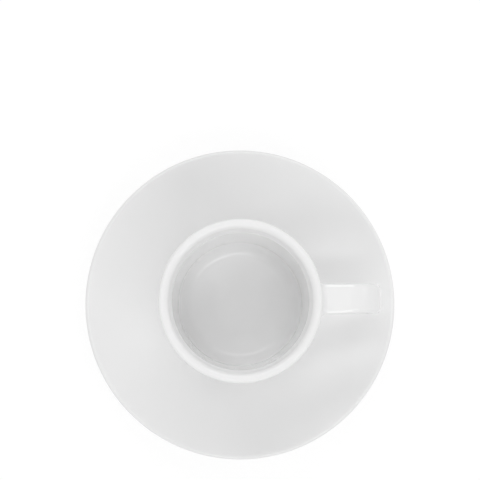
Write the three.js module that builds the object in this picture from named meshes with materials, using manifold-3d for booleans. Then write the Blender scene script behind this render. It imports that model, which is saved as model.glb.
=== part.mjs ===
// Espresso cup with a strap handle, standing on its saucer, in white glazed porcelain.
// Millimetres, +Z up. The origin is on the saucer's axis, on the surface that its foot ring stands on.
// The handle points along +X. The cup stands loose in the saucer's well and lifts straight off it.

import * as THREE from "three";
import { mergeVertices } from "three/addons/utils/BufferGeometryUtils.js";
import Module from "manifold-3d";

// Saucer: a shallow dish on a foot ring, with a flat well that holds the cup's foot
const saucerDiameter = 120;
const saucerHeight = 17;
const saucerThickness = 3.7; // of the dish beside the well
const saucerLip = 2.2; // thickness at the edge, which is a full round
const saucerEdgeSlope = 23; // degrees at which the dish reaches its edge
const saucerFootDiameter = 66;
const saucerFootWidth = 3;
const saucerFootHeight = 2.4;
const wellDepth = 1.1;
const wellBevel = 1.6; // width of the well's sloping side
const wellClearance = 1; // round the cup's foot

// Cup body: a lightly tapered wall on a rounded base and a foot ring
const cupDiameter = 60; // over the lip, before its edge is rounded
const cupHeight = 55;
const cupLip = 3.2; // thickness at the lip
const cupLipEdge = 1; // rounding of the lip's outer edge; the inner edge is rounded over the rest
const cupFlare = 6; // how far below the lip the wall gets its full thickness
const cupFlareRounding = 8; // inside, where the flare turns into the wall
const cupWall = 4.5; // thickness below the flare
const cupBaseDiameter = 55.6; // where the outer wall, carried on down, would meet the base
const cupBaseWall = 4.4; // wall thickness at the floor
const cupBaseRounding = 9; // outside, where the wall turns under
const cupFloor = 3.6; // thickness over the recess inside the foot ring
const cupFloorRounding = 6.4; // inside, where the wall turns into the floor
const cupFloorDish = 2.2; // how much the floor rises from its level middle to the wall
const cupFloorMiddle = 16; // diameter at which the floor starts to rise
const cupFloorSweep = 45; // rounding where it starts to rise
const cupFootDiameter = 35;
const cupFootWidth = 2.4;
const cupBaseClearance = 0.8; // under the base, over the saucer

// Both foot rings
const footDraft = 0.5; // slope of each side of the ring
const footRounding = 0.6; // along the edges that stand on something
const footBlend = 1.1; // where the ring meets the base above it

// Handle: a strap that leaves the wall level, turns down and comes back to the wall
const handleReach = 23.9; // beyond the lip, before the corner is rounded
const handleDrop = 5.5; // from the lip down to the strap's top face
const handleWidth = 11.4;
const handleLowerWidth = 9.8; // where the strap comes back to the wall
const handleThickness = 4;
const handleEdge = 1.7; // rounding along the strap's four edges
const handleCorner = 8.5; // inside radius where the strap turns down
const handleHeel = 4.6; // inside radius where it turns back to the wall
const handleLean = 3.4; // how far the outer leg leans in as it goes down
const handleLowerHeight = 18; // of the lower joint's middle, over the cup's foot
const handleHeelRise = 2.6; // of the heel over the lower joint
const jointFillet = 2.2; // of clay slip round each joint with the wall
const jointGap = 0.3; // between the strap's ends and the wall

// Fineness of the facets
const turnSteps = 64;
const arcStep = 20; // degrees of arc to a facet
const dishSteps = 9;
const filletSteps = 5;

const degree = Math.PI / 180;
const point = (x, y, rounding = 0) => Object.assign(new THREE.Vector2(x, y), { rounding });

// Points along an outline whose corners are rounded, each to its own radius.
// Where a stretch is too short for the roundings at its two ends, both shrink to fit it.
function rounded(corners) {
  const bends = corners.map((corner, i) => {
    if (!corner.rounding) return { reach: 0 };
    const back = corners[i - 1].clone().sub(corner).normalize();
    const on = corners[i + 1].clone().sub(corner).normalize();
    const half = Math.acos(THREE.MathUtils.clamp(back.dot(on), -1, 1)) / 2;
    return { back, on, half, reach: corner.rounding / Math.tan(half) };
  });
  const share = corners.map(() => 1);
  for (let i = 0; i + 1 < corners.length; i++) {
    const wanted = bends[i].reach + bends[i + 1].reach;
    const fit = wanted ? Math.min(1, corners[i].distanceTo(corners[i + 1]) / wanted) : 1;
    share[i] = Math.min(share[i], fit);
    share[i + 1] = Math.min(share[i + 1], fit);
  }
  return corners.flatMap((corner, i) => {
    const { back, on, half, reach } = bends[i];
    if (!reach) return [corner.clone()];
    const radius = corner.rounding * share[i];
    const start = corner.clone().addScaledVector(back, reach * share[i]);
    const end = corner.clone().addScaledVector(on, reach * share[i]);
    const inward = back.clone().add(on).normalize();
    const centre = corner.clone().addScaledVector(inward, radius / Math.sin(half));
    return arc(centre, start, end);
  });
}

// Points of the arc about centre from start to end, the short way round.
function arc(centre, start, end) {
  const from = start.clone().sub(centre);
  const to = end.clone().sub(centre);
  const turn = Math.atan2(from.cross(to), from.dot(to));
  const steps = Math.max(2, Math.ceil(Math.abs(turn) / degree / arcStep));
  return Array.from({ length: steps + 1 }, (_, k) =>
    start.clone().rotateAround(centre, (turn * k) / steps),
  );
}

// The solid that a profile of radius and height sweeps round the Z axis.
function turned(profile) {
  return new THREE.LatheGeometry(profile, turnSteps).rotateX(Math.PI / 2);
}

// Height at radius r on a line of points that runs outwards.
function heightAt(line, r) {
  const i = line.findIndex((p) => p.x >= r);
  if (i <= 0) return line.at(i).y;
  const [a, b] = [line[i - 1], line[i]];
  return THREE.MathUtils.mapLinear(r, a.x, b.x, a.y, b.y);
}

// Corners of a foot ring, from the axis under the base to the ring's outer side at height top.
function footRing(radius, width, height, top) {
  return [
    point(0, height),
    point(radius - width, height, footBlend),
    point(radius - width + footDraft, 0, footRounding),
    point(radius - footDraft, 0, footRounding),
    point(radius, top, footBlend),
  ];
}

const cupFootRadius = cupFootDiameter / 2;
const cupFootHeight = wellDepth + cupBaseClearance;
const dishLow = saucerFootHeight + saucerThickness;
const wellFloor = dishLow - wellDepth;

// The saucer's wall is drawn about its middle line, which leaves the well level and steepens to the edge.
function saucerProfile() {
  const wellRadius = cupFootRadius + wellClearance;
  const shoulder = point(wellRadius + wellBevel, dishLow, wellBevel);
  const slope = saucerEdgeSlope * degree;
  const edge = point(saucerDiameter / 2 - saucerLip / 2, saucerHeight - saucerLip / 2);
  const start = point(shoulder.x, dishLow - saucerThickness / 2);
  const pull = (edge.x - start.x) * 0.4;
  const middle = new THREE.CubicBezierCurve(
    start,
    point(start.x + pull, start.y),
    point(edge.x - pull * Math.cos(slope), edge.y - pull * Math.sin(slope)),
    edge,
  );
  const side = (sign) =>
    Array.from({ length: dishSteps }, (_, k) => {
      const t = (k + 1) / dishSteps;
      const along = middle.getTangent(t);
      const half = THREE.MathUtils.lerp(saucerThickness, saucerLip, t) / 2;
      return middle.getPoint(t).addScaledVector(point(-along.y, along.x), sign * half);
    });
  const under = side(-1);
  const upper = side(1);
  const footRadius = saucerFootDiameter / 2;
  const beyondFoot = under.filter((p) => p.x > footRadius + 2 * footBlend);
  const tip = edge.clone().add(point(Math.cos(slope), Math.sin(slope)).multiplyScalar(saucerLip / 2));
  return [
    ...rounded([
      ...footRing(footRadius, saucerFootWidth, saucerFootHeight, heightAt(under, footRadius)),
      beyondFoot[0],
    ]),
    ...beyondFoot.slice(1),
    ...arc(edge, under.at(-1), tip).slice(1),
    ...arc(edge, tip, upper.at(-1)).slice(1),
    ...upper.slice(1, -1).reverse(),
    ...rounded([upper[0], shoulder, point(wellRadius, wellFloor, wellBevel / 2), point(0, wellFloor)]),
  ];
}

// Radius of the cup's outer wall at a height over its foot, before the base is rounded.
function wallRadius(z) {
  return THREE.MathUtils.mapLinear(z, cupFootHeight, cupHeight, cupBaseDiameter / 2, cupDiameter / 2);
}

function cupProfile() {
  const lip = cupDiameter / 2;
  const floor = cupFootHeight + cupFloor;
  const flareEnd = cupHeight - cupFlare;
  const floorEdge = floor + cupFloorDish;
  return rounded([
    ...footRing(cupFootRadius, cupFootWidth, cupFootHeight, cupFootHeight),
    point(cupBaseDiameter / 2, cupFootHeight, cupBaseRounding),
    point(lip, cupHeight, cupLipEdge),
    point(lip - cupLip, cupHeight, cupLip - cupLipEdge),
    point(wallRadius(flareEnd) - cupWall, flareEnd, cupFlareRounding),
    point(wallRadius(floorEdge) - cupBaseWall, floorEdge, cupFloorRounding),
    point(cupFloorMiddle / 2, floor, cupFloorSweep),
    point(0, floor),
  ]);
}

// Middle line of the strap in the plane of X and Z, with close steps where the fillets swell at the wall.
function strapLine() {
  const half = handleThickness / 2;
  const top = cupHeight - handleDrop - half;
  const out = cupDiameter / 2 + handleReach - half;
  const low = handleLowerHeight;
  const corner = point(out, top, handleCorner + half);
  const heel = point(out - handleLean, low + handleHeelRise, handleHeel + half);
  const upperRoot = point(wallRadius(top) - jointFillet, top);
  const lowerRoot = point(wallRadius(low) - jointFillet, low);
  const swell = (root, next) => {
    const along = next.clone().sub(root).normalize();
    return Array.from({ length: 2 * filletSteps }, (_, k) =>
      root.clone().addScaledVector(along, (jointFillet * (k + 1)) / filletSteps),
    );
  };
  return rounded([
    upperRoot,
    ...swell(upperRoot, corner),
    corner,
    heel,
    ...swell(lowerRoot, heel).reverse(),
    lowerRoot,
  ]);
}

// Rounded rectangle of the strap's section: each point has its place and the way out from the edge there.
function strapSection(width, thickness) {
  const edge = Math.min(handleEdge, thickness / 2);
  const steps = Math.ceil(90 / arcStep);
  return [0, 1, 2, 3].flatMap((quarter) =>
    Array.from({ length: steps + 1 }, (_, k) => {
      const angle = 90 * degree * (quarter + k / steps);
      const out = point(Math.cos(angle), Math.sin(angle));
      const sideways = quarter === 0 || quarter === 3 ? 1 : -1;
      const upwards = quarter < 2 ? 1 : -1;
      const centre = point(sideways * (width / 2 - edge), upwards * (thickness / 2 - edge));
      return { place: centre.addScaledVector(out, edge), out };
    }),
  );
}

// How far a fillet of the joint stands out from the strap at a distance from the wall.
function filletSwell(distance) {
  const left = THREE.MathUtils.clamp(jointFillet - distance, 0, jointFillet);
  return jointFillet - Math.sqrt(jointFillet ** 2 - left ** 2);
}

// Closed skin over rings of points that all have the same number of points.
function loft(rings) {
  const count = rings[0].length;
  const middle = (ring) =>
    ring.reduce((sum, p) => sum.add(p), new THREE.Vector3()).divideScalar(count);
  const points = [...rings.flat(), middle(rings[0]), middle(rings.at(-1))];
  const first = points.length - 2;
  const last = points.length - 1;
  const faces = [];
  for (let k = 0; k < count; k++) {
    const next = (k + 1) % count;
    for (let i = 0; i + 1 < rings.length; i++) {
      const [a, b] = [i * count + k, i * count + next];
      faces.push(a, b, b + count, a, b + count, a + count);
    }
    const end = (rings.length - 1) * count;
    faces.push(first, next, k, last, end + k, end + next);
  }
  return new THREE.BufferGeometry().setFromPoints(points).setIndex(faces);
}

function strapGeometry() {
  const line = strapLine();
  const lengths = line.map((p, i) => (i ? p.distanceTo(line[i - 1]) : 0));
  const whole = lengths.reduce((sum, l) => sum + l, 0);
  let gone = 0;
  const rings = line.map((p, i) => {
    gone += lengths[i];
    const ahead = line[Math.min(i + 1, line.length - 1)];
    const behind = line[Math.max(i - 1, 0)];
    const along = ahead.clone().sub(behind).normalize();
    const across = point(-along.y, along.x);
    const width = THREE.MathUtils.lerp(handleWidth, handleLowerWidth, gone / whole);
    return strapSection(width, handleThickness).map(({ place, out }) => {
      const x = p.x + across.x * place.y;
      const z = p.y + across.y * place.y;
      const swell = filletSwell(Math.hypot(x, place.x) - wallRadius(z));
      const lift = out.y * swell;
      return new THREE.Vector3(x + across.x * lift, place.x + out.x * swell, z + across.y * lift);
    });
  });
  return loft(rings);
}

const wasm = await Module();
wasm.setup();

// A closed geometry as a solid that can be cut.
function solidOf(geometry) {
  const bare = new THREE.BufferGeometry().setAttribute("position", geometry.getAttribute("position"));
  const merged = mergeVertices(bare.setIndex(geometry.getIndex()));
  const vertProperties = merged.getAttribute("position").array;
  const triVerts = new Uint32Array(merged.getIndex().array);
  return new wasm.Manifold(new wasm.Mesh({ numProp: 3, vertProperties, triVerts }));
}

function geometryOf(solid) {
  const { vertProperties, triVerts } = solid.getMesh();
  const geometry = new THREE.BufferGeometry();
  geometry.setAttribute("position", new THREE.BufferAttribute(vertProperties, 3));
  geometry.setIndex(new THREE.BufferAttribute(triVerts, 1));
  geometry.computeVertexNormals();
  return geometry;
}

// The strap's ends are cut to the round of the wall that they are luted to.
function handleGeometry() {
  const wall = turned([
    point(0, 0),
    point(wallRadius(0) + jointGap, 0),
    point(wallRadius(cupHeight) + jointGap, cupHeight),
    point(0, cupHeight),
  ]);
  return geometryOf(solidOf(strapGeometry()).subtract(solidOf(wall)));
}

// White porcelain under a clear, glossy glaze.
function porcelain() {
  return new THREE.MeshStandardMaterial({ color: 0xf4f4f4, roughness: 0.12, metalness: 0 });
}

function named(name, geometry) {
  const mesh = new THREE.Mesh(geometry, porcelain());
  mesh.name = name;
  return mesh;
}

const cup = new THREE.Group();
cup.add(named("cup_body", turned(cupProfile())), named("cup_handle", handleGeometry()));
cup.position.z = wellFloor;

const cupAndSaucer = new THREE.Group();
cupAndSaucer.add(named("saucer", turned(saucerProfile())), cup);

export default cupAndSaucer;
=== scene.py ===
# An espresso cup with a strap handle, on its saucer, in white glazed porcelain.
# Lengths are metres in the frame's own axes: +Z up, the handle along +X.
import math

import bpy
import numpy as np
from mathutils import Matrix, Vector


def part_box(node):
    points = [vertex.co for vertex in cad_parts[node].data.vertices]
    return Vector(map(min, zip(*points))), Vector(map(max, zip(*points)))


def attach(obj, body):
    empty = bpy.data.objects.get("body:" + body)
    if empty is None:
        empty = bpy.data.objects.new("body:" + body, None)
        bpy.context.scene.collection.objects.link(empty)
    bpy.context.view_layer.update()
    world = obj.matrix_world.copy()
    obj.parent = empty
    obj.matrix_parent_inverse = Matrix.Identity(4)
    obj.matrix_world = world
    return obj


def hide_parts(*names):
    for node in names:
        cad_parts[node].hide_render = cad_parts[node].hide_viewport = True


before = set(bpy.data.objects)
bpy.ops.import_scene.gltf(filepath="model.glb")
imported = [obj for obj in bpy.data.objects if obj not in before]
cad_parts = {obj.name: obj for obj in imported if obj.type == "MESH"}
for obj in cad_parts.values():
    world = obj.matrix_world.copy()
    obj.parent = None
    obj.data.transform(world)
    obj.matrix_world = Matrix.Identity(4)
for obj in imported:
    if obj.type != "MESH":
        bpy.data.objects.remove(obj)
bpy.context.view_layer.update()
scene = bpy.context.scene
scene.view_settings.view_transform = "Standard"
scene.cycles.diffuse_bounces = 12  # white clay sends light on many times, most of all inside the cup
scene.cycles.max_bounces = 16
mm = 0.001
print("frame loaded:", ", ".join(sorted(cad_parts)))


# Surfaces

# An outline of (across, up, rounding) corners, in millimetres: straight sides joined by arcs tangent to them.
def roundedOutline(corners, arcPoints=14):
    places = np.array([corner[:2] for corner in corners], float)
    stretches = []
    for i, (*_, radius) in enumerate(corners):
        if not radius:
            stretches.append(places[i : i + 1])
            continue
        back, on = places[i - 1] - places[i], places[i + 1] - places[i]
        back, on = back / np.linalg.norm(back), on / np.linalg.norm(on)
        half = math.acos(np.clip(back @ on, -1, 1)) / 2
        inward = (back + on) / np.linalg.norm(back + on)
        centre = places[i] + inward * radius / math.sin(half)
        first = places[i] + back * radius / math.tan(half) - centre
        side = math.copysign(1, back[0] * on[1] - back[1] * on[0])
        turn = -side * np.linspace(0, math.pi - 2 * half, arcPoints)
        spin = np.stack([np.cos(turn), -np.sin(turn), np.sin(turn), np.cos(turn)], -1)
        stretches.append(centre + spin.reshape(-1, 2, 2) @ first)
    return np.concatenate(stretches)


# The same line with each side cut into equal lengths of at most one step, which keeps the faces small.
def evenedOutline(outline, step):
    sides = np.diff(outline, axis=0)
    lengths = np.linalg.norm(sides, axis=1)
    outline, sides, lengths = outline[:-1][lengths > 1e-6], sides[lengths > 1e-6], lengths[lengths > 1e-6]
    cuts = np.ceil(lengths / step).astype(int)
    side = np.repeat(np.arange(len(cuts)), cuts)
    part = (np.arange(cuts.sum()) - np.repeat(np.cumsum(cuts) - cuts, cuts)) / cuts[side]
    return np.concatenate([outline[side] + part[:, None] * sides[side], [outline[-1] + sides[-1]]])


# A turned surface: each profile point (r, z) goes round the axis, x = r cos a and y = r sin a.
def turnedRings(profile, steps):
    angle = np.linspace(0, 2 * math.pi, steps, endpoint=False)
    r, z = profile[1:-1, :1], profile[1:-1, 1:]
    return np.stack([r * np.cos(angle), r * np.sin(angle), z + 0 * angle], -1)


# A closed skin over rings of points, with a fan of faces to one point at each end. Its attribute "bare" is 1 on the
# ring that it stands on, at height ground, which is wiped free of glaze before firing.
def ringPiece(name, rings, ends, body, node, ground):
    rows, columns = rings.shape[:2]
    index = np.arange(rows * columns).reshape(rows, columns)
    beside = np.roll(index, -1, axis=1)
    quads = np.stack([index[:-1], beside[:-1], beside[1:], index[1:]], -1).reshape(-1, 4)
    first, last = rows * columns, rows * columns + 1
    start = np.stack([np.full(columns, first), beside[0], index[0]], -1)
    finish = np.stack([np.full(columns, last), index[-1], beside[-1]], -1)
    points = np.concatenate([rings.reshape(-1, 3), np.array(ends)]) * mm
    mesh = bpy.data.meshes.new(name)
    mesh.from_pydata(points, [], quads.tolist() + start.tolist() + finish.tolist())
    mesh.polygons.foreach_set("use_smooth", np.ones(len(mesh.polygons), bool))
    bare = np.clip(1.5 - (points[:, 2] / mm - ground) / foot["bare"], 0, 1)
    mesh.attributes.new("bare", "FLOAT", "POINT").data.foreach_set("value", bare)
    piece = bpy.data.objects.new(name, mesh)
    scene.collection.objects.link(piece)
    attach(piece, body)
    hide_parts(node)
    print("piece", name, len(points), "points")
    return piece


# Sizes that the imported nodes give, in millimetres
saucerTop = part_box("saucer")[1] / mm
cupLow, cupHigh = (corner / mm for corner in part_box("cup_body"))

# Both foot rings, in millimetres; bare is how far up the ring the glaze is wiped off.
foot = {"draft": 0.5, "rounding": 0.6, "blend": 1.1, "bare": 0.3}


# Corners of a foot ring, from the axis under the base out to the ring's side.
def footRing(ground, radius, width, height, top):
    return [
        (0, ground + height, 0),
        (radius - width, ground + height, foot["blend"]),
        (radius - width + foot["draft"], ground, foot["rounding"]),
        (radius - foot["draft"], ground, foot["rounding"]),
        (radius, top, foot["blend"]),
    ]


# In millimetres, with the slope in degrees.
saucer = {
    "thickness": 3.7,  # beside the well
    "lip": 2.2,  # thickness at the edge
    "edgeSlope": 23.0,
    "footRadius": 33.0,
    "footWidth": 3.0,
    "footHeight": 2.4,
    "wellDepth": 1.1,
    "wellBevel": 1.6,
    "wellClearance": 1.0,
    "steps": 256,  # round the axis
}


# Saucer: the wall lies either side of a middle line, a cubic curve that leaves the well level and steepens
# to the edge; its thickness falls evenly along the curve to the lip, which is a half round.
def saucerProfile():
    low = saucer["footHeight"] + saucer["thickness"]
    wellRadius = cup["footRadius"] + saucer["wellClearance"]
    shoulder = wellRadius + saucer["wellBevel"]
    slope = math.radians(saucer["edgeSlope"])
    edge = np.array([saucerTop.x - saucer["lip"] / 2, saucerTop.z - saucer["lip"] / 2])
    start = np.array([shoulder, low - saucer["thickness"] / 2])
    pull = 0.4 * (edge[0] - start[0])
    out = np.array([math.cos(slope), math.sin(slope)])
    pins = np.array([start, start + [pull, 0], edge - pull * out, edge])
    t = np.linspace(0.02, 1, 60)[:, None]
    shares = np.hstack([(1 - t) ** 3, 3 * t * (1 - t) ** 2, 3 * t**2 * (1 - t), t**3])
    middle = shares @ pins
    along = np.gradient(middle, axis=0)
    along[-1] = out
    along /= np.linalg.norm(along, axis=1)[:, None]
    normal = np.stack([-along[:, 1], along[:, 0]], -1)
    half = (saucer["thickness"] + (saucer["lip"] - saucer["thickness"]) * t) / 2
    under, upper = middle - normal * half, middle + normal * half
    turn = np.linspace(-math.pi / 2, math.pi / 2, 24)[1:-1] + slope
    lip = edge + saucer["lip"] / 2 * np.stack([np.cos(turn), np.sin(turn)], -1)
    radius = saucer["footRadius"]
    ringTop = np.interp(radius, under[:, 0], under[:, 1])
    beyond = under[under[:, 0] > radius + 2 * foot["blend"]]
    below = footRing(0, radius, saucer["footWidth"], saucer["footHeight"], ringTop)
    wellFloor = low - saucer["wellDepth"]
    well = [
        (*upper[0], 0),
        (shoulder, low, saucer["wellBevel"]),
        (wellRadius, wellFloor, saucer["wellBevel"] / 2),
        (0, wellFloor, 0),
    ]
    return np.concatenate(
        [
            roundedOutline([*below, (*beyond[0], 0)]),
            beyond[1:],
            lip,
            upper[:0:-1],
            roundedOutline(well),
        ]
    )


# All in millimetres.
cup = {
    "lip": 3.2,  # thickness
    "lipEdge": 1.0,  # rounding outside; inside, the rest of the lip is rounded over
    "lipRadius": 30.0,
    "flare": 6.0,  # how far below the lip the wall is full
    "flareRounding": 8.0,
    "wall": 4.5,
    "baseRadius": 27.8,
    "baseWall": 4.4,
    "baseRounding": 9.0,
    "footRadius": 17.5,
    "footWidth": 2.4,
    "footHeight": 1.9,
    "floor": 3.6,  # thickness
    "floorRounding": 6.4,
    "floorDish": 2.2,  # how much the floor rises to the wall
    "floorMiddle": 8.0,  # radius of its level middle
    "floorSweep": 45.0,
    "steps": 224,  # round the axis
}


# Outer wall of the cup: its radius grows evenly from the base to the lip.
def wallRadius(z):
    low = cupLow.z + cup["footHeight"]
    return cup["baseRadius"] + (z - low) / (cupHigh.z - low) * (cup["lipRadius"] - cup["baseRadius"])


def cupProfile():
    base = cupLow.z + cup["footHeight"]
    floor = base + cup["floor"]
    floorEdge = floor + cup["floorDish"]
    flareEnd = cupHigh.z - cup["flare"]
    radius = cup["lipRadius"]
    return roundedOutline(
        [
            *footRing(cupLow.z, cup["footRadius"], cup["footWidth"], cup["footHeight"], base),
            (cup["baseRadius"], base, cup["baseRounding"]),
            (radius, cupHigh.z, cup["lipEdge"]),
            (radius - cup["lip"], cupHigh.z, cup["lip"] - cup["lipEdge"]),
            (wallRadius(flareEnd) - cup["wall"], flareEnd, cup["flareRounding"]),
            (wallRadius(floorEdge) - cup["baseWall"], floorEdge, cup["floorRounding"]),
            (cup["floorMiddle"], floor, cup["floorSweep"]),
            (0, floor, 0),
        ],
        28,
    )


# In millimetres, with the bevel's slope in degrees.
handle = {
    "drop": 5.5,  # from the lip to the strap's top face
    "reach": 53.9,  # from the axis, before the corner is rounded
    "width": 11.4,
    "lowerWidth": 9.8,
    "thickness": 4.0,
    "bevel": 1.4,
    "bevelSlope": 20.5,
    "shoulder": 1.6,  # rounding between broad face and bevel
    "edge": 0.8,  # rounding between bevel and side
    "crown": 0.12,
    "corner": 8.5,  # inside radii of the two bends
    "heel": 4.6,
    "lean": 3.4,
    "lowerHeight": 18.0,
    "heelRise": 2.6,
    "fillet": 2.2,
}


# Section of the strap: a rectangle with a rounded bevel along each edge, and broad faces that swell by the crown,
# which falls off with the square of the distance from the middle. With it comes the way out at each point.
def strapPoints(width):
    half, thick = width / 2, handle["thickness"] / 2 - handle["crown"]
    bevelled = thick - handle["bevel"] * math.tan(math.radians(handle["bevelSlope"]))
    quarter = roundedOutline(
        [
            (half, 0, 0),
            (half, bevelled, handle["edge"]),
            (half - handle["bevel"], thick, handle["shoulder"]),
            (0, thick, 0),
        ]
    )
    quarter[:, 1] += handle["crown"] * (1 - (quarter[:, 0] / half) ** 2)
    left = quarter[-2:0:-1] * [-1, 1]
    upper = np.concatenate([quarter, left])
    section = np.concatenate([upper, [[-half, 0]], upper[:0:-1] * [1, -1]])
    along = np.roll(section, -1, axis=0) - np.roll(section, 1, axis=0)
    out = np.stack([along[:, 1], -along[:, 0]], -1)
    return section, out / np.linalg.norm(out, axis=1)[:, None]


# Strap: the section is carried along a level arm, a corner, a leaning leg, a heel and an arm back to the wall.
# Within a fillet's radius of the wall the skin swells along a quarter circle, so that it meets the wall smoothly.
def strapRings():
    half = handle["thickness"] / 2
    top = cupHigh.z - handle["drop"] - half
    low = cupLow.z + handle["lowerHeight"]
    out = handle["reach"] - half
    upperRoot = np.array([wallRadius(top), top])
    lowerRoot = np.array([wallRadius(low), low])
    corner = np.array([out, top])
    heel = np.array([out - handle["lean"], low + handle["heelRise"]])
    bends = roundedOutline(
        [
            (*upperRoot, 0),
            (*corner, handle["corner"] + half),
            (*heel, handle["heel"] + half),
            (*lowerRoot, 0),
        ],
        28,
    )
    line = evenedOutline(bends[1:-1], 1.2)
    along = np.gradient(line, axis=0)
    along[0] = corner - upperRoot
    along[-1] = lowerRoot - heel
    along /= np.linalg.norm(along, axis=1)[:, None]
    share = np.linspace(0.25, 0.75, len(line))
    bend = ringsOn(line, along, share)
    upper = armRings(upperRoot, line[0], along[0], 0.0, share[0])
    lower = armRings(lowerRoot, line[-1], -along[-1], 1.0, share[-1], -1)
    return np.concatenate([upper[:-1], bend, lower[-2::-1]])


# Plain rings: each one lies square to the line that it is on.
def ringsOn(line, along, share):
    rings = []
    for place, way, part in zip(line, along, share):
        points, _ = strapPoints(handle["width"] + (handle["lowerWidth"] - handle["width"]) * part)
        x = place[0] - way[1] * points[:, 1]
        z = place[1] + way[0] * points[:, 1]
        rings.append(np.stack([x, points[:, 0], z], -1))
    return np.array(rings)


# Rings of one arm, from inside the wall to the bend: each is at one distance from the wall all round,
# and they turn square to the arm as they leave it.
def armRings(root, end, way, rootShare, endShare, side=1):
    fillet = handle["fillet"]
    length = np.linalg.norm(end - root)
    bow = np.linspace(math.pi / 2, 0, 20)
    distance = np.concatenate([[-0.6], fillet * (1 - np.sin(bow)), np.linspace(fillet, length, 12)[1:]])
    left = np.clip(fillet - distance, 0, fillet)
    swell = fillet - np.sqrt(fillet**2 - left**2)
    share = rootShare + (endShare - rootShare) * np.clip(distance / length, 0, 1)
    rings = []
    for d, e, part in zip(distance, swell, share):
        points, outward = strapPoints(handle["width"] + (handle["lowerWidth"] - handle["width"]) * part)
        across, up = (points + outward * e).T
        start = root + np.outer(up, side * np.array([-way[1], way[0]]))
        slide = np.full(len(up), d)
        for _ in range(5):
            x, z = start[:, 0] + slide * way[0], start[:, 1] + slide * way[1]
            slide = slide + (wallRadius(z) + d - np.hypot(x, across)) / way[0]
        square = np.clip((d - fillet) / (length - fillet), 0, 1)
        slide = slide + (d - slide) * square
        rings.append(np.stack([start[:, 0] + slide * way[0], across, start[:, 1] + slide * way[1]], -1))
    return np.array(rings)


saucerLine = evenedOutline(saucerProfile(), 0.9)
saucerPiece = ringPiece(
    "saucer_porcelain",
    turnedRings(saucerLine, saucer["steps"]),
    [(0, 0, saucerLine[0, 1]), (0, 0, saucerLine[-1, 1])],
    "saucer",
    "saucer",
    0.0,
)
cupLine = evenedOutline(cupProfile(), 0.9)
cupPiece = ringPiece(
    "cup_porcelain",
    turnedRings(cupLine, cup["steps"]),
    [(0, 0, cupLine[0, 1]), (0, 0, cupLine[-1, 1])],
    "cup",
    "cup_body",
    cupLow.z,
)
strap = strapRings()
handlePiece = ringPiece(
    "handle_porcelain",
    strap,
    [strap[0].mean(0), strap[-1].mean(0)],
    "cup",
    "cup_handle",
    cupLow.z,
)


# Materials

# An sRGB hex colour as linear light.
def linearColour(text):
    srgb = np.array([int(text[i : i + 2], 16) for i in (1, 3, 5)]) / 255
    return (*np.where(srgb <= 0.04045, srgb / 12.92, ((srgb + 0.055) / 1.055) ** 2.4), 1.0)


# One node with its settings; an input is given a value, or a socket to link to.
def addNode(tree, kind, inputs=None, **settings):
    node = tree.nodes.new(kind)
    for key, value in settings.items():
        setattr(node, key, value)
    for key, value in (inputs or {}).items():
        if isinstance(value, bpy.types.NodeSocket):
            tree.links.new(value, node.inputs[key])
        else:
            node.inputs[key].default_value = value
    return node


def emptyMaterial(name):
    material = bpy.data.materials.new(name)
    material.use_nodes = True
    material.node_tree.nodes.clear()
    return material


# Hard porcelain under a clear glaze, fired glossy: an even white with a sharp, slightly wavy gloss.
# The standing rings are bare fired clay, dull and a little greyer, which picks up dust in its grain.
glaze = {"body": "#F6F6F6", "thin": "#F8F8F8", "cloud": 16 * mm, "peel": 2.4 * mm, "ior": 1.5}
bisque = {"body": "#DEDCD8", "dusty": "#CFCCC6", "grain": 0.35 * mm, "roughness": 0.75}


# A mix of two colours, or of two linked sockets, by a factor.
def colourMix(tree, factor, first, second):
    return addNode(tree, "ShaderNodeMix", {0: factor, 6: first, 7: second}, data_type="RGBA").outputs[2]


def glazedPorcelain():
    material = emptyMaterial("glazedPorcelain")
    tree = material.node_tree
    place = addNode(tree, "ShaderNodeTexCoord").outputs["Object"]
    bare = addNode(tree, "ShaderNodeAttribute", attribute_name="bare").outputs["Fac"]
    cloud, peel, grain = (
        addNode(tree, "ShaderNodeTexNoise", {"Vector": place, "Scale": 1 / size, "Detail": detail}).outputs["Fac"]
        for size, detail in ((glaze["cloud"], 2.0), (glaze["peel"], 1.0), (bisque["grain"], 3.0))
    )
    white = colourMix(tree, cloud, linearColour(glaze["body"]), linearColour(glaze["thin"]))
    dull = colourMix(tree, grain, linearColour(bisque["body"]), linearColour(bisque["dusty"]))
    gloss = addNode(
        tree,
        "ShaderNodeMapRange",
        {"Value": cloud, "From Min": 0.3, "From Max": 0.7, "To Min": 0.03, "To Max": 0.06},
    )
    rough = addNode(
        tree,
        "ShaderNodeMapRange",
        {"Value": bare, "To Min": gloss.outputs["Result"], "To Max": bisque["roughness"]},
    )
    wave = addNode(tree, "ShaderNodeBump", {"Height": cloud, "Strength": 1.0, "Distance": 0.008 * mm})
    skin = addNode(
        tree,
        "ShaderNodeBump",
        {"Height": peel, "Strength": 1.0, "Distance": 0.003 * mm, "Normal": wave.outputs["Normal"]},
    )
    shader = addNode(
        tree,
        "ShaderNodeBsdfPrincipled",
        {
            "Base Color": colourMix(tree, bare, white, dull),
            "Roughness": rough.outputs["Result"],
            "Normal": skin.outputs["Normal"],
            "IOR": glaze["ior"],
        },
    )
    addNode(tree, "ShaderNodeOutputMaterial", {"Surface": shader.outputs["BSDF"]})
    return material


porcelain = glazedPorcelain()
for piece in (saucerPiece, cupPiece, handlePiece):
    piece.data.materials.append(porcelain)
print("materials done")


# Stage: a white table whose own glow makes it white to the eye, and which still takes a soft shadow.
stage = {"halfWidth": 2.0, "glow": 0.84, "shadowed": 0.2, "bounce": 0.8, "below": 0.02 * mm}


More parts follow.
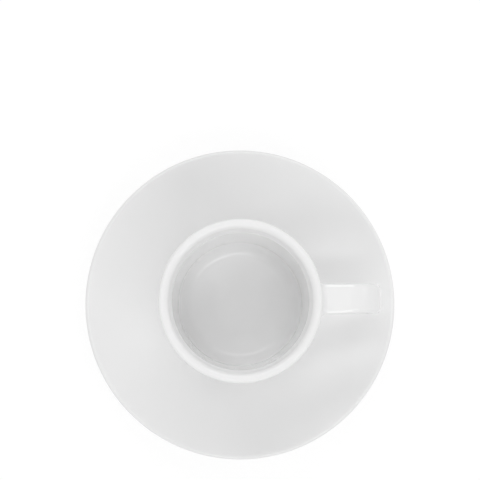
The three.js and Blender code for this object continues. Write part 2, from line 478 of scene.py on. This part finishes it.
# 1 for what the eye sees of the stage, straight or in a gloss, and 0 for the light that the stage sends on.
def seenRay(tree):
    path = addNode(tree, "ShaderNodeLightPath")
    seen = path.outputs["Is Camera Ray"]
    for name in ("Is Glossy Ray", "Is Transmission Ray"):
        seen = addNode(tree, "ShaderNodeMath", {0: seen, 1: path.outputs[name]}, operation="MAXIMUM").outputs[0]
    return seen


def tableMaterial():
    material = emptyMaterial("whiteTable")
    tree = material.node_tree
    seen = seenRay(tree)
    plain = addNode(tree, "ShaderNodeBsdfDiffuse", {"Color": (*[stage["bounce"]] * 3, 1)})
    dull = addNode(tree, "ShaderNodeBsdfDiffuse", {"Color": (*[stage["shadowed"]] * 3, 1)})
    glow = addNode(tree, "ShaderNodeEmission", {"Strength": stage["glow"]})
    white = addNode(tree, "ShaderNodeAddShader", {0: dull.outputs[0], 1: glow.outputs[0]})
    shader = addNode(tree, "ShaderNodeMixShader", {0: seen, 1: plain.outputs[0], 2: white.outputs[0]})
    addNode(tree, "ShaderNodeOutputMaterial", {"Surface": shader.outputs[0]})
    return material


tableMesh = bpy.data.meshes.new("table")
reach = stage["halfWidth"]
tableMesh.from_pydata(
    [(x * reach, y * reach, -stage["below"]) for x, y in ((-1, -1), (1, -1), (1, 1), (-1, 1))],
    [],
    [(0, 1, 2, 3)],
)
tableMesh.materials.append(tableMaterial())
table = bpy.data.objects.new("table", tableMesh)
scene.collection.objects.link(table)


# Light: an even white room, a long softbox behind and another in front, both turned a little off square,
# and three weaker ones to the right, to the left and overhead.
light = {
    "room": 0.7,
    "distance": 1.3,
    "softboxes": {
        "behind": {"azimuth": 98, "elevation": 48, "size": (1.2, 0.3), "level": 2.27},
        "front": {"azimuth": 290, "elevation": 52, "size": (1.2, 0.3), "level": 2.5},
        "right": {"azimuth": 25, "elevation": 30, "size": (0.9, 0.5), "level": 0.57},
        "left": {"azimuth": 220, "elevation": 30, "size": (0.9, 0.5), "level": 0.52},
        "above": {"azimuth": 90, "elevation": 89, "size": (0.5, 0.5), "level": 0.36},
    },
}


def roomLight():
    world = bpy.data.worlds.new("room")
    world.use_nodes = True
    tree = world.node_tree
    tree.nodes.clear()
    seen = seenRay(tree)
    lit = addNode(tree, "ShaderNodeBackground", {"Strength": light["room"]})
    white = addNode(tree, "ShaderNodeBackground", {"Strength": 1.0})
    mix = addNode(tree, "ShaderNodeMixShader", {0: seen, 1: lit.outputs[0], 2: white.outputs[0]})
    addNode(tree, "ShaderNodeOutputWorld", {"Surface": mix.outputs[0]})
    scene.world = world


# A lamp gives a fourth of its power per area as brightness, so a level of 1 is white.
def softbox(name, azimuth, elevation, size, level):
    lamp = bpy.data.lights.new(name, "AREA")
    lamp.shape = "RECTANGLE"
    lamp.size, lamp.size_y = size
    lamp.energy = 4 * size[0] * size[1] * level
    turn, rise = math.radians(azimuth), math.radians(elevation)
    way = Vector((math.cos(rise) * math.cos(turn), math.cos(rise) * math.sin(turn), math.sin(rise)))
    thing = bpy.data.objects.new(name, lamp)
    thing.location = light["distance"] * way
    thing.rotation_euler = (-way).to_track_quat("-Z", "Y").to_euler()
    thing.visible_camera = False
    scene.collection.objects.link(thing)


roomLight()
for name, settings in light["softboxes"].items():
    softbox(name, **settings)


# Camera: nearly straight down, from slightly in front, with the saucer below the middle of the picture.
camera = {
    "distance": 0.705,
    "lens": 133.0,
    "tilt": 1.64,
    "lean": 0.3,
    "roll": 1.4,
    "dropPixels": 64.05,
    "picture": 480,
}

lens = bpy.data.cameras.new("camera")
lens.lens = camera["lens"]
lens.sensor_width = 36
eye = bpy.data.objects.new("camera", lens)
scene.collection.objects.link(eye)
scene.camera = eye
tilt, lean = math.radians(camera["tilt"]), math.radians(camera["lean"])
aim = Vector((0, 0, saucerTop.z * mm))
lay = Matrix.Rotation(-lean, 4, "Y") @ Matrix.Rotation(tilt, 4, "X")
pixels = camera["lens"] / lens.sensor_width * camera["picture"]
lift = math.atan(camera["dropPixels"] / pixels)
back = Matrix.Translation((0, 0, camera["distance"] - aim.z))
turned = Matrix.Rotation(-math.radians(camera["roll"]), 4, "Z") @ Matrix.Rotation(lift, 4, "X")
eye.matrix_world = Matrix.Translation(aim) @ lay @ back @ turned
print("camera and lights placed")
